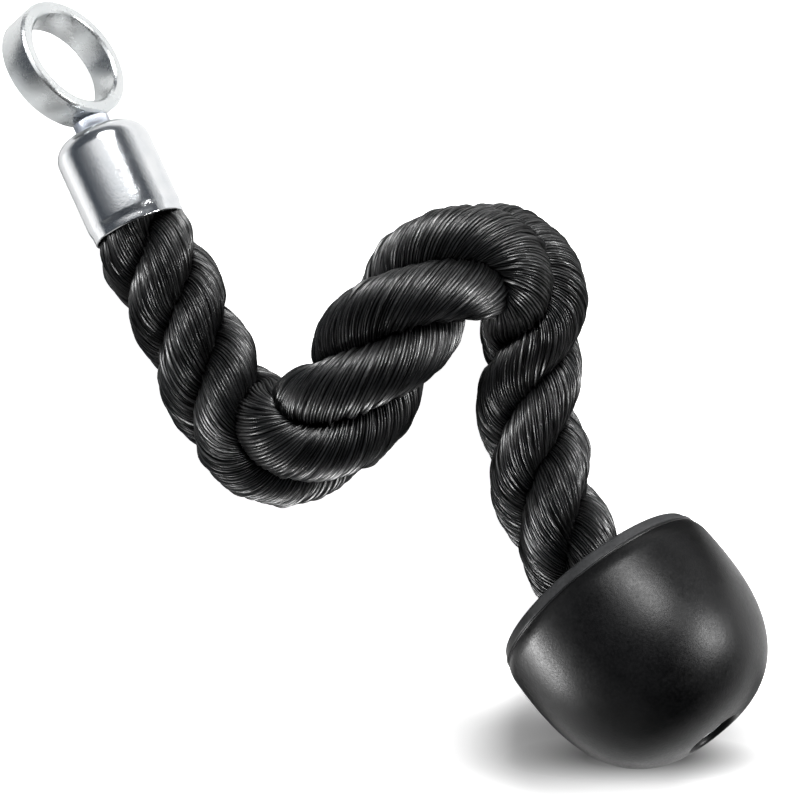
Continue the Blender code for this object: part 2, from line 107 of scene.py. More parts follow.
def arc(centre: Pair, radius: float, start: float, end: float, steps: int) -> Profile:
    """Round corner of a turned outline.

    Args:
        centre: radius and height of the corner's centre.
        radius: size of the corner.
        start: first angle in degrees, zero pointing outwards.
        end: last angle in degrees.
        steps: how many spans the corner is cut into.

    Returns:
        Points of radius and height, both ends included.
    """
    angles = [math.radians(start + (end - start) * i / steps) for i in range(steps + 1)]
    return [(centre[0] + radius * math.cos(a), centre[1] + radius * math.sin(a)) for a in angles]


def stand_in(piece: Piece, node: str, body: Body) -> None:
    """Let a piece move with a body and stand for a CAD node.

    Args:
        piece: the piece.
        node: the CAD node that it replaces.
        body: the body that it rides on.
    """
    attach(piece, body.value)
    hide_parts(node)


# modelling


def linked(name: str, data: bpy.types.ID) -> Piece:
    """A new object of some data, linked to the scene."""
    piece = bpy.data.objects.new(name, data)
    bpy.context.scene.collection.objects.link(piece)
    return piece


def deselect() -> None:
    """Leave edit mode and deselect everything."""
    if bpy.context.mode != "OBJECT":
        bpy.ops.object.mode_set(mode="OBJECT")
    bpy.ops.object.select_all(action="DESELECT")


def select_only(piece: Piece) -> None:
    """Make one piece the only selected and active one.

    Args:
        piece: the piece.
    """
    deselect()
    piece.select_set(True)
    bpy.context.view_layer.objects.active = piece


def first_loop(name: str, radius: float, height: float, segments: int) -> Piece:
    """Add the first loop of a turned piece and enter edit mode with it selected.

    Args:
        name: the piece's name.
        radius: radius of the loop.
        height: its height.
        segments: how many edges go round.

    Returns:
        The new object.
    """
    deselect()
    bpy.ops.mesh.primitive_circle_add(vertices=segments, radius=radius, fill_type="NOTHING")
    piece = bpy.context.active_object
    piece.name = name
    piece.data.name = name
    bpy.ops.object.mode_set(mode="EDIT")
    bpy.ops.mesh.select_mode(type="VERT")
    bpy.ops.mesh.select_all(action="SELECT")
    bpy.ops.transform.translate(value=(0, 0, height))
    return piece


def next_loop(before: Pair, after: Pair) -> None:
    """Extrude the selected loop to the next radius and height of an outline.

    Args:
        before: radius and height of the selected loop.
        after: radius and height that it goes to.
    """
    rise, share = after[1] - before[1], after[0] / before[0]
    bpy.ops.mesh.extrude_edges_move(TRANSFORM_OT_translate={"value": (0, 0, rise)})
    bpy.ops.transform.resize(value=(share, share, 1), center_override=(0, 0, after[1]))


def turned_piece(name: str, outline: Profile, segments: int, closed: bool) -> Piece:
    """Build a turned piece about Z loop by loop.

    Args:
        name: the piece's name.
        outline: points of radius and height.
        segments: how many edges go round.
        closed: whether the outline closes on itself, as for a ring. If not, its first and last loops
            are both drawn in to one point on the axis, halfway between them.

    Returns:
        The finished object, in object mode.
    """
    piece = first_loop(name, outline[0][0], outline[0][1], segments)
    for before, after in zip(outline, outline[1:]):
        next_loop(before, after)
    bpy.ops.mesh.select_all(action="DESELECT")
    bpy.ops.mesh.select_non_manifold()
    if closed:
        bpy.ops.mesh.bridge_edge_loops()
    else:
        bpy.ops.mesh.extrude_edges_move(TRANSFORM_OT_translate={"value": (0, 0, 0)})
        bpy.ops.mesh.merge(type="CENTER")
    face_outwards()
    return piece


def face_outwards() -> None:
    """Point every face outwards and go back to object mode."""
    bpy.ops.mesh.select_all(action="SELECT")
    bpy.ops.mesh.normals_make_consistent(inside=False)
    bpy.ops.object.mode_set(mode="OBJECT")


def round_edges(piece: Piece, width: float, segments: int, angle_deg: float = 40) -> None:
    """Round a piece's sharp edges with an applied bevel.

    Args:
        piece: the piece.
        width: width of the bevel in metres.
        segments: how many faces go across it.
        angle_deg: only edges sharper than this are rounded.
    """
    select_only(piece)
    edge = piece.modifiers.new("edge_rounding", "BEVEL")
    edge.width = width
    edge.segments = segments
    edge.limit_method = "ANGLE"
    edge.angle_limit = math.radians(angle_deg)
    bpy.ops.object.modifier_apply(modifier=edge.name)


def cut_away(piece: Piece, cutter: Piece) -> None:
    """Cut one piece with another and remove the cutter.

    Args:
        piece: what is cut.
        cutter: what is taken away.
    """
    select_only(piece)
    hole = piece.modifiers.new("hole", "BOOLEAN")
    hole.operation = "DIFFERENCE"
    hole.object = cutter
    hole.solver = "EXACT"
    bpy.ops.object.modifier_apply(modifier=hole.name)
    bpy.data.objects.remove(cutter)


def set_down(piece: Piece, where: Matrix, smooth_deg: float = 32) -> None:
    """Move a piece's mesh to its place, its object staying at the origin, and shade it smooth.

    Args:
        piece: the piece.
        where: matrix of its own frame.
        smooth_deg: edges flatter than this are shaded smooth.
    """
    piece.data.transform(where)
    piece.data.update()
    select_only(piece)
    bpy.ops.object.shade_smooth_by_angle(angle=math.radians(smooth_deg))
    deselect()


# shader nodes


class NodeBench:
    """Adds and joins the nodes of one material, world or lamp."""

    def __init__(self, owner: bpy.types.ID) -> None:
        """Empty the owner's node tree.

        Args:
            owner: the material, world or lamp.
        """
        owner.use_nodes = True
        self.tree = owner.node_tree
        self.tree.nodes.clear()

    def add(self, kind: str, **inputs: object) -> bpy.types.Node:
        """Add a node and set its plain inputs.

        Args:
            kind: the node's type.
            inputs: values by socket name, an underscore standing for a space.

        Returns:
            The node.
        """
        node = self.tree.nodes.new(kind)
        for name, value in inputs.items():
            self.feed(node.inputs[name.replace("_", " ")], value)
        return node

    def feed(self, socket: Socket, value: object) -> None:
        """Join a socket or set its value.

        Args:
            socket: the input.
            value: another node's output, or a plain value.
        """
        if isinstance(value, bpy.types.NodeSocket):
            self.tree.links.new(value, socket)
        elif value is not None:
            socket.default_value = value

    def calc(self, operation: str, *values: Number) -> Socket:
        """Add a Math node.

        Args:
            operation: its operation.
            values: its values, in order.

        Returns:
            The result.
        """
        node = self.tree.nodes.new("ShaderNodeMath")
        node.operation = operation
        for socket, value in zip(node.inputs, values):
            self.feed(socket, value)
        return node.outputs[0]

    def times(self, first: Number, second: Number, *plus: Number) -> Socket:
        """Multiply two values, and add a third where there is one."""
        return self.calc("MULTIPLY_ADD" if plus else "MULTIPLY", first, second, *plus)

    def noise(self, vector: Socket, scale: float, detail: float, roughness: float) -> Socket:
        """Noise around one half, with a number of octaves and the strength of the finer ones."""
        node = self.add("ShaderNodeTexNoise", Vector=vector, Scale=scale, Detail=detail, Roughness=roughness)
        return node.outputs["Fac"]

    def split(self, vector: Socket) -> bpy.types.bpy_prop_collection:
        """The three parts of a vector."""
        return self.add("ShaderNodeSeparateXYZ", Vector=vector).outputs

    def paths(self) -> bpy.types.bpy_prop_collection:
        """What kind of ray is being answered."""
        return self.tree.nodes.new("ShaderNodeLightPath").outputs

    def end(self, shader: bpy.types.Node, kind: str) -> None:
        """Join a shader to an output node of its kind."""
        output = self.tree.nodes.new(kind)
        self.tree.links.new(shader.outputs[0], output.inputs["Surface"])

    def ramp(self, factor: Socket, stops: Sequence[Pair]) -> Socket:
        """Add a Color Ramp of greys.

        Args:
            factor: what it reads.
            stops: position and brightness of each stop, in order.

        Returns:
            Its colour.
        """
        node = self.add("ShaderNodeValToRGB", Fac=factor)
        band = node.color_ramp
        for index, (position, grey) in enumerate(stops):
            stop = band.elements[index] if index < 2 else band.elements.new(position)
            stop.position = position
            stop.color = (grey, grey, grey, 1.0)
        return node.outputs["Color"]

    def spread(self, value: Socket, low: float, high: float, low_out: float = 0.0,
               high_out: float = 1.0) -> Socket:
        """Map a value from one range to another, clamped.

        Args:
            value: what is mapped.
            low: start of the range read.
            high: end of the range read.
            low_out: result at its start.
            high_out: result at its end.

        Returns:
            The mapped value.
        """
        node = self.add("ShaderNodeMapRange")
        for socket, plain in zip(node.inputs, (value, low, high, low_out, high_out)):
            self.feed(socket, plain)
        return node.outputs["Result"]

    def blend(self, share: Number, first: object, second: object) -> Socket:
        """Mix two colours.

        Args:
            share: how much of the second.
            first: the first colour.
            second: the second colour.

        Returns:
            The mixed colour.
        """
        node = self.tree.nodes.new("ShaderNodeMix")
        node.data_type = "RGBA"
        self.feed(node.inputs["Factor"], share)
        self.feed(node.inputs["A"], first)
        self.feed(node.inputs["B"], second)
        return node.outputs["Result"]

    def object_space(self, where: Matrix | None = None) -> Socket:
        """Object coordinates, turned into a piece's own frame.

        Args:
            where: matrix of that frame, or None for the row frame.

        Returns:
            The coordinates.
        """
        place = self.tree.nodes.new("ShaderNodeTexCoord").outputs["Object"]
        if where is None:
            return place
        node = self.tree.nodes.new("ShaderNodeMapping")
        node.vector_type = "TEXTURE"
        node.inputs["Location"].default_value = where.to_translation()
        node.inputs["Rotation"].default_value = where.to_euler("XYZ")
        self.feed(node.inputs["Vector"], place)
        return node.outputs["Vector"]

    def bump(self, height: Socket, depth: float, normal: Socket | None = None) -> Socket:
        """The normal bent by a height, depth being a full step in metres, over an earlier normal."""
        node = self.add("ShaderNodeBump", Height=height, Distance=depth, Normal=normal)
        return node.outputs["Normal"]

    def surface(self, **inputs: object) -> None:
        """Add the main shader, with values by socket name as in add, and the output."""
        self.end(self.add("ShaderNodeBsdfPrincipled", **inputs), "ShaderNodeOutputMaterial")


@dataclass(frozen=True)
class Finish:
    """A finish that can be laid on a piece."""

    name: str

    def nodes(self, bench: NodeBench) -> None:
        """Build the finish's nodes; each finish has its own."""
        raise NotImplementedError

    def material(self) -> bpy.types.Material:
        """The finish as a material, made once."""
        made = bpy.data.materials.get(self.name)
        if made is None:
            made = bpy.data.materials.new(self.name)
            self.nodes(NodeBench(made))
        return made

    def lay_on(self, piece: Piece) -> None:
        """Give the whole piece this finish.

        Args:
            piece: a new piece or a CAD node.
        """
        if not piece.material_slots:
            piece.data.materials.append(self.material())
        for place in piece.material_slots:
            place.material = self.material()


@dataclass(frozen=True)
class TurnedSteel(Finish):
    """Plated or polished steel with fine turning lines about an axis, and a little unevenness.

    Attributes:
        where: matrix of the piece's own frame, its Z the axis of the turning lines.
        colour, tint: colour of the metal, and the one that its cloudy places go to.
        low_gloss, high_gloss: lowest and highest roughness.
        line_pitch, line_depth: distance between the turning lines and their depth, in metres.
        ripple_size, ripple_depth: size and depth of the soft ripples, in metres.
        grain_size, grain_depth: size and depth of the fine grain, in metres.
        serrations, serration_depth: how many fine lines run along the axis round the piece, or none,
            and their depth in metres.
    """

    where: Matrix
    colour: Triple
    tint: Triple
    low_gloss: float
    high_gloss: float
    line_pitch: float = 0.0005
    line_depth: float = 0.0000015
    ripple_size: float = 0.004
    ripple_depth: float = 0.000006
    grain_size: float = 0.0011
    grain_depth: float = 0.0000016
    serrations: int = 0
    serration_depth: float = 0.00010

    def nodes(self, bench: NodeBench) -> None:
        """Build the nodes of the metal.

        Args:
            bench: adds the nodes.
        """
        place = bench.object_space(self.where)
        across, aside, along = bench.split(place)
        ray = bench.calc("SQRT", bench.times(across, across, bench.times(aside, aside)))
        track = bench.add("ShaderNodeCombineXYZ", X=ray, Y=along)
        lines = bench.noise(track.outputs[0], 1.0 / self.line_pitch, 2.0, 0.6)
        cloud = bench.noise(place, 1.0 / (self.ripple_size * 3), 4.0, 0.55)
        grain = bench.noise(place, 1.0 / self.grain_size, 4.0, 0.65)
        ripple = bench.noise(place, 1.0 / self.ripple_size, 2.0, 0.5)
        colour = bench.blend(bench.spread(cloud, 0.42, 0.70), (*self.colour, 1), (*self.tint, 1))
        mixed = bench.times(grain, 0.35, bench.times(cloud, 0.65))
        gloss = bench.spread(mixed, 0.35, 0.66, self.low_gloss, self.high_gloss)
        normal = bench.bump(lines, self.line_depth)
        normal = bench.bump(grain, self.grain_depth, normal)
        normal = bench.bump(ripple, self.ripple_depth, normal)
        if self.serrations:
            turn = bench.calc("ARCTAN2", aside, across)
            wave = bench.calc("SINE", bench.times(turn, float(self.serrations)))
            normal = bench.bump(wave, self.serration_depth, normal)
        bench.surface(Base_Color=colour, Metallic=1.0, Roughness=gloss, Normal=normal)


@dataclass(frozen=True)
class ZincSteel(Finish):
    """Dull zinc-plated hardware with a crystalline bloom."""

    colour: Triple = (0.56, 0.57, 0.59)

    def nodes(self, bench: NodeBench) -> None:
        """Build the nodes of the zinc.

        Args:
            bench: adds the nodes.
        """
        place = bench.object_space()
        bloom = bench.add("ShaderNodeTexVoronoi", Vector=place, Scale=900.0)
        cloud = bench.noise(place, 260.0, 4.0, 0.6)
        tone = bench.times(bloom.outputs["Color"], 0.35, bench.times(cloud, 0.65))
        dark = tuple(part * 0.72 for part in self.colour)
        colour = bench.blend(bench.spread(tone, 0.3, 0.75), (*self.colour, 1), (*dark, 1))
        bench.surface(Base_Color=colour, Metallic=1.0, Roughness=bench.spread(tone, 0.3, 0.8, 0.28, 0.5),
                      Normal=bench.bump(cloud, 0.00002))


@dataclass(frozen=True)
class RopeYarn(Finish):
    """Black glossy multifilament rope, its threads read from the cord's own UV map, with painted shade in
    its gaps.

    Attributes:
        yarns: how many yarns go round a strand.
        wrap: radius of the circle on which the seamless pattern is read.
        reach: how long the map's full length is on the same scale.
    """

    yarns: int
    wrap: float = 4.3
    reach: float = 22.0

    def nodes(self, bench: NodeBench) -> None:
        """Build the nodes of the yarn.

        Args:
            bench: adds the nodes.
        """
        lay = bench.tree.nodes.new("ShaderNodeUVMap")
        lay.uv_map = TwistedRope.UV_NAME
        along, round_it, _ = bench.split(lay.outputs[0])
        turn = bench.times(round_it, 2 * math.pi)
        east = bench.times(bench.calc("COSINE", turn), self.wrap)
        north = bench.times(bench.calc("SINE", turn), self.wrap)
        run = bench.times(along, self.reach)
        space = bench.add("ShaderNodeCombineXYZ", X=east, Y=north, Z=run).outputs[0]
        phase = bench.calc("FRACT", bench.times(round_it, float(self.yarns)))
        gap = bench.calc("ABSOLUTE", bench.times(phase, 2.0, -1.0))
        threads = bench.noise(space, 2.6, 3.0, 0.62)
        fibres = bench.noise(space, 7.0, 2.0, 0.6)
        patches = bench.noise(space, 0.5, 3.0, 0.6)
        # painted shade: the gaps between yarns and threads are painted black, and made black metal there so
        # they reflect nothing
        depth = bench.times(threads, 0.8, gap)
        painted_gap_shade = bench.calc("MAXIMUM", bench.spread(depth, 1.00, 1.35),
                            bench.spread(threads, 0.46, 0.36, 0.0, 0.8))
        light = bench.blend(bench.spread(patches, 0.35, 0.7),
                            (0.0003, 0.0004, 0.0005, 1), (0.0013, 0.0016, 0.0019, 1))
        colour = bench.blend(painted_gap_shade, light, (0.0002, 0.0002, 0.0002, 1))
        shine = bench.spread(bench.calc("ADD", threads, patches), 0.75, 1.25, 0.27, 0.40)
        gloss = bench.times(painted_gap_shade, 0.12, shine)
        height = bench.times(fibres, 0.35, threads)
        normal = bench.bump(height, 0.00024)
        bench.surface(Base_Color=colour, Roughness=gloss, Metallic=painted_gap_shade, Normal=normal,
                      Specular_IOR_Level=0.85)


@dataclass(frozen=True)
class BlackRubber(Finish):
    """Moulded black rubber: satin, faintly cloudy, a fine grain, and a lip painted lighter for dust and
    sheen.

    Attributes:
        where: matrix of the ball's own frame.
        parting: height of the parting line, under which the lip is painted lighter for dust and a painted
            sheen.
    """

    where: Matrix
    parting: float

    def nodes(self, bench: NodeBench) -> None:
        """Build the nodes of the rubber.

        Args:
            bench: adds the nodes.
        """
        place = bench.object_space(self.where)
        cloud = bench.noise(place, 70.0, 5.0, 0.62)
        grain = bench.noise(place, 1100.0, 3.0, 0.6)
        swell = bench.noise(place, 90.0, 2.0, 0.5)
        tone = bench.times(grain, 0.45, bench.times(cloud, 0.55))
        colour = bench.blend(bench.spread(tone, 0.36, 0.66),
                             (0.0007, 0.0007, 0.0008, 1), (0.0042, 0.0042, 0.0046, 1))
        # the lip under the parting line is painted lighter: dust, and a painted sheen for the light its
        # rounding catches
        height = bench.split(place)["Z"]
        edge = bench.times(cloud, 0.0006, height)
        lip_dust_and_sheen = bench.spread(edge, self.parting - 0.0002, self.parting + 0.0004, 1.0, 0.0)
        lip_dust_and_sheen = bench.times(lip_dust_and_sheen, bench.spread(tone, 0.30, 0.65, 0.35, 1.0))
        colour = bench.blend(lip_dust_and_sheen, colour, (0.050, 0.051, 0.053, 1))
        gloss = bench.spread(tone, 0.34, 0.68, 0.31, 0.47)
        normal = bench.bump(swell, 0.00010, bench.bump(grain, 0.000040))
        bench.surface(Base_Color=colour, Roughness=gloss, Normal=normal, Specular_IOR_Level=0.23)


@dataclass(frozen=True)
class StudioFloor(Finish):
    """White paper floor, white for the camera but for real and painted shadow at the ball and under the
    object.

    Attributes:
        white: brightness of the paper.
        low_lift, high_lift: light added to it for the camera, in the shade and everywhere else.
        foot, reach: middle of the ball's shadow, and its half length and half width.
        touch, touch_reach: the same of its darkest part.
        way: direction in which both run.
        painted_foot_shadow, painted_touch_shadow, painted_hidden_shadow: painted shadow, the paper's
        brightness
            in the ball's shadow, in its darkest part, and where the object stands on it and hides it.
        rope_shade, ball_shade: painted brightness in the reflections of the rope and of the ball's flanks.
        change: from where to where along Y it goes from rope_shade to white in reflections.
        south: from where to where along Y it takes ball_shade.
        stands: middle, direction and reach of each place that the object stands on and hides.
    """

    white: float = 0.86
    low_lift: float = 0.02
    high_lift: float = 1.0
    foot: Pair = (0.0262, -0.1728)
    reach: Pair = (0.0850, 0.0160)
    touch: Pair = (0.0219, -0.1775)
    touch_reach: Pair = (0.0419, 0.0080)
    way: Pair = (-0.9078, 0.4195)
    painted_foot_shadow: float = 0.64
    painted_touch_shadow: float = 0.12
    painted_hidden_shadow: float = 0.30
    rope_shade: float = 0.05
    ball_shade: float = 1.0
    change: Pair = (0.015, 0.075)
    south: Pair = (-0.0878, -0.1178)
    stands: tuple[tuple[Pair, Pair, Pair], ...] = (
        ((0.0360, -0.1400), (1.0, 0.0), (0.0300, 0.0360)),
        ((-0.0610, 0.0420), (0.0, 1.0), (0.0420, 0.0150)),
        ((0.0385, -0.0450), (0.316, 0.949), (0.0420, 0.0150)))

    def nodes(self, bench: NodeBench) -> None:
        """Build the nodes of the floor.

        Args:
            bench: adds the nodes.
        """
        parts = bench.split(bench.object_space())
        ray = self.oval(bench, parts, self.foot, self.way, self.reach, 3.0)
        under = self.oval(bench, parts, self.touch, self.way, self.touch_reach)
        lift = bench.spread(ray, 0.25, 1.90, self.low_lift, self.high_lift)
        # painted shadow: the paper's colour darkens in the ball's shadow, most of all in its touch oval
        seen = bench.calc("MINIMUM", bench.spread(under, 0.45, 1.50, self.painted_touch_shadow, self.white),
                          bench.spread(ray, 0.60, 1.60, self.painted_foot_shadow, self.white))
        # painted shadow: the paper's colour darkens where the object stands on it, out of the camera's sight
        for middle, way, reach in self.stands:
            place = self.oval(bench, parts, middle, way, reach)
            lift = bench.times(lift, bench.spread(place, 0.60, 1.0, self.low_lift, self.high_lift))
            seen = bench.calc("MINIMUM", seen, bench.spread(place, 0.70, 1.0, self.painted_hidden_shadow, self.white))
        # painted reflection: the paper seen in the ball's flanks is brighter than the paper itself
        flanks = bench.times(bench.spread(parts["Y"], *self.south),
                             bench.spread(ray, 0.9, 2.2, 0.0, self.ball_shade))
        # painted shade: the paper seen in reflections is dark near the rope
        mirrored = bench.calc("MAXIMUM", flanks,
                              bench.spread(parts["Y"], *self.change, self.rope_shade, self.white))
        paths = bench.paths()
        bench.surface(Base_Color=bench.blend(paths["Is Glossy Ray"], seen, mirrored), Roughness=0.9,
                      Specular_IOR_Level=0.0, Emission_Color=(1, 1, 1, 1),
                      Emission_Strength=bench.times(paths["Is Camera Ray"], lift))

    @staticmethod
    def oval(bench: NodeBench, parts: bpy.types.bpy_prop_collection, middle: Pair, way: Pair, reach: Pair,
             power: float = 2.0) -> Socket:
        """Distance from the middle of an oval on the floor.

        Args:
            bench: adds the nodes.
            parts: the place on the floor.
            middle: the oval's middle.
            way: direction in which it is long.
            reach: its half length and half width.
            power: how square it is across.

        Returns:
            The distance, one at the oval's edge.
        """
        east = bench.calc("SUBTRACT", parts["X"], middle[0])
        north = bench.calc("SUBTRACT", parts["Y"], middle[1])
        along = bench.times(east, way[0], bench.times(north, way[1]))
        across = bench.times(east, -way[1], bench.times(north, way[0]))
        squares = [bench.calc("POWER", bench.calc("ABSOLUTE", bench.calc("DIVIDE", part, half)), to)
                   for part, half, to in ((along, reach[0], 2.0), (across, reach[1], power))]
        return bench.calc("SQRT", bench.calc("ADD", *squares))


# the rope


def unit(ways: Rows) -> Rows:
    """A direction, or rows of them, at a length of one."""
    return ways / np.linalg.norm(ways, axis=-1, keepdims=True)


def distances(line: Rows) -> Rows:
    """How far along a line each of its points is."""
    return np.concatenate([[0], np.cumsum(np.linalg.norm(np.diff(line, axis=0), axis=1))])


def read_off(spots: Rows, places: Rows, rows: Rows) -> Rows:
    """Rows that are known at some places, read off at other spots."""
    return np.stack([np.interp(spots, places, column) for column in rows.T], axis=-1)


@dataclass
class TwistedRope:
    """Three-strand rope between the cup and the ball, each strand its own piece.

    Attributes:
        UV_NAME: the strands' UV map, U along the strand and V round it.
        YARN_FORM: height of each column of a yarn, in shares of the ridge.
        route: points of the free rope from the cup's mouth to the ball's face.
        thick: thickness by share of the free length, as a share of the nominal one.
        lays: length of one turn of the strands by share of the free length.
        exit_way: direction in which the rope leaves the cup.
        ball_yaw_deg, ball_tip_deg: turn of the ball's axis about Z, and its slope.
        diameter, strand_diameter: thickness of the rope and of a strand.
        strands: how many strands it has.
        start_deg: where the first strand leaves the cup.
        in_cup, in_ball: how much rope is in the cup and in the ball.
        step: distance between the points of its middle line.
        yarns: yarns round a strand.
        yarn_pitch: length of strand in which a yarn goes round once.
        ridge: depth of the gap between two yarns, roughly.
        rings: how many loops a strand's mesh has.
        seat_gap: half the room left between two strands.
        rest_height: height over the floor at which a strand lies flat.
        seed: start of the fixed unevenness.
    """

    UV_NAME = "yarn_lay"
    YARN_FORM = (-1.30, -0.05, 0.50, 0.60, 0.25)

    route: tuple[Triple, ...] = (
        (-0.0616, 0.0795, 0.0220), (-0.0614, 0.0550, 0.0192), (-0.0607, 0.0218, 0.0193),
        (-0.0537, -0.0074, 0.0245), (-0.0318, -0.0141, 0.0390), (-0.0050, -0.0003, 0.0510),
        (0.0206, 0.0140, 0.0520), (0.0456, 0.0159, 0.0420), (0.0557, -0.0030, 0.0265),
        (0.0434, -0.0292, 0.0190), (0.0337, -0.0574, 0.0190), (0.0303, -0.0848, 0.0262),
        (0.0330, -0.1065, 0.0355))
    thick: tuple[Pair, ...] = (
        (0.00, 0.91), (0.02, 1.03), (0.06, 1.10), (0.14, 1.07), (0.26, 1.28), (0.38, 1.28),
        (0.50, 1.21), (0.62, 1.23), (0.74, 1.07), (0.86, 1.11), (1.00, 1.04))
    lays: tuple[Pair, ...] = ((0.00, 0.068), (0.10, 0.077), (0.20, 0.085), (0.35, 0.091), (1.00, 0.091))
    exit_way: Triple = (0.0, -1.0, 0.0)
    ball_yaw_deg: float = -76.5
    ball_tip_deg: float = 27.0
    diameter: float = 0.0344
    strand_diameter: float = 0.0160
    strands: int = 3
    start_deg: float = 49.5
    in_cup: float = 0.0245
    in_ball: float = 0.0410
    step: float = 0.001
    yarns: int = 44
    yarn_pitch: float = 0.040
    ridge: float = 0.00048
    rings: int = 449
    seat_gap: float = 0.0003
    rest_height: float = 0.00003
    seed: int = 11

    def ball_axis(self) -> Rows:
        """Direction from the ball's face to its pole."""
        yaw, tip = math.radians(self.ball_yaw_deg), math.radians(self.ball_tip_deg)
        return np.array([math.cos(yaw) * math.cos(tip), math.sin(yaw) * math.cos(tip), math.sin(tip)])

    def free_line(self) -> Rows:
        """Cubic spline through the route, leaving the cup and entering the ball straight.

        Returns:
            Points about a step apart.
        """
        points = np.array(self.route)
        spans = np.linalg.norm(np.diff(points, axis=0), axis=1)
        slopes = np.diff(points, axis=0) / spans[:, None]
        count = len(points)
        system = np.zeros((count, count))
        rates = np.zeros((count, 3))
        system[0, 0:2] = 2 * spans[0], spans[0]
        system[-1, -2:] = spans[-1], 2 * spans[-1]
        rates[0] = 6 * (slopes[0] - np.array(self.exit_way))
        rates[-1] = 6 * (self.ball_axis() - slopes[-1])
        for i in range(1, count - 1):
            system[i, i - 1:i + 2] = spans[i - 1], 2 * (spans[i - 1] + spans[i]), spans[i]
            rates[i] = 6 * (slopes[i] - slopes[i - 1])
        bends = np.linalg.solve(system, rates)
        curve = []
        for i, span in enumerate(spans):
            steps = max(2, math.ceil(span / self.step))
            along = np.linspace(0, span, steps, endpoint=False)[:, None]
            slope = slopes[i] - span * (2 * bends[i] + bends[i + 1]) / 6
            cubic = (bends[i + 1] - bends[i]) / (6 * span)
            curve.append(points[i] + slope * along + bends[i] / 2 * along ** 2 + cubic * along ** 3)
        curve.append(points[-1:])
        return np.concatenate(curve)

    def straight(self, start: Rows, end: Rows) -> Rows:
        """Points a step apart on a straight line, without its end."""
        steps = max(2, math.ceil(np.linalg.norm(end - start) / self.step))
        return start + (end - start) * np.linspace(0, 1, steps, endpoint=False)[:, None]

    def whole_line(self) -> tuple[Rows, Rows, Rows, float]:
        """The rope's middle line from inside the cup to inside the ball.

        Returns:
            Its points, their distance along it, how far along the free length each is from 0 to 1,
            and the distance at which the free length starts.
        """
        mouth, face = np.array(self.route[0]), np.array(self.route[-1])
        top = mouth - np.array(self.exit_way) * self.in_cup
        bottom = face + self.ball_axis() * self.in_ball
        upper, free, lower = self.straight(top, mouth), self.free_line(), self.straight(face, bottom)[1:]
        line = np.concatenate([upper, free, lower, bottom[None]])
        lengths = distances(line)
        start = lengths[len(upper)]
        end = lengths[len(upper) + len(free) - 1]
        return line, lengths, np.clip((lengths - start) / (end - start), 0, 1), float(start)

    def strand_lines(self) -> list[Strand]:
        """Middle line of each strand, its outward direction and its radius."""
        line, lengths, share, start = self.whole_line()
        tangents = unit(np.gradient(line, axis=0))
        sides = [unit(np.cross(tangents[0], [0, 0, 1]))]
        for tangent in tangents[1:]:
            sides.append(unit(sides[-1] - tangent * np.dot(sides[-1], tangent)))
        across = np.array(sides)
        ups = np.cross(tangents, across)
        thick = np.interp(share, *zip(*self.thick))
        turn = np.concatenate([[0], np.cumsum(np.diff(lengths) / np.interp(share[1:], *zip(*self.lays)))])
        turn -= np.interp(start, lengths, turn)
        helix = (self.diameter - self.strand_diameter) / 2 * thick
        radius = self.strand_diameter / 2 * thick
        found = []
        for number in range(self.strands):
            angle = 2 * math.pi * (turn + number / self.strands) + math.radians(self.start_deg)
            outward = np.cos(angle)[:, None] * across + np.sin(angle)[:, None] * ups
            found.append((line + outward * helix[:, None], outward, radius))
        return found

    def yarn_edges(self, rng: np.random.Generator) -> Rows:
        """Angles of a strand's columns, a few to a yarn, the yarns uneven in width.

        Args:
            rng: source of the fixed unevenness.

        Returns:
            One angle for each column of the mesh.
        """
        widths = 1 + 0.70 * (rng.random(self.yarns) - 0.5)
        starts = np.concatenate([[0], np.cumsum(widths)]) / widths.sum() * 2 * math.pi
        parts = np.arange(len(self.YARN_FORM)) / len(self.YARN_FORM)
        return (starts[:-1, None] + np.diff(starts)[:, None] * parts).ravel()

    def ridges(self, rng: np.random.Generator) -> Rows:
        """Height of each column of a strand along its length.

        Args:
            rng: source of the fixed unevenness.

        Returns:
            Heights in metres, one row for each loop.
        """
        columns, knots = len(self.YARN_FORM), self.rings // 7 + 4
        swell = rng.normal(0, 1, (knots, self.yarns))
        smooth = read_off(np.linspace(0, knots - 1, self.rings), np.arange(knots), swell)
        smooth = np.repeat(smooth, columns, axis=1)
        crest = np.tile(np.array(self.YARN_FORM), self.yarns)
        return self.ridge * (crest * (1 + 0.40 * smooth) + 0.75 * smooth)

    def reach(self, middle: Rows, ways: Rows, radius: float, neighbours: Rows) -> Rows:
        """How far a section reaches each way before it meets halfway to a neighbour.

        Args:
            middle: the section's middle.
            ways: its directions.
            radius: its radius where nothing is near.
            neighbours: points of the other strands' middle lines.

        Returns:
            The reach in each direction.
        """
        towards = neighbours - middle
        distance = np.linalg.norm(towards, axis=1)
        near = distance < self.diameter * 1.3
        facing = ways @ (towards[near] / distance[near, None]).T
        halfway = distance[near] / 2 - self.seat_gap
        limit = np.where(facing > 0.05, halfway / np.maximum(facing, 0.05), np.inf)
        return np.minimum(radius, limit.min(axis=1))

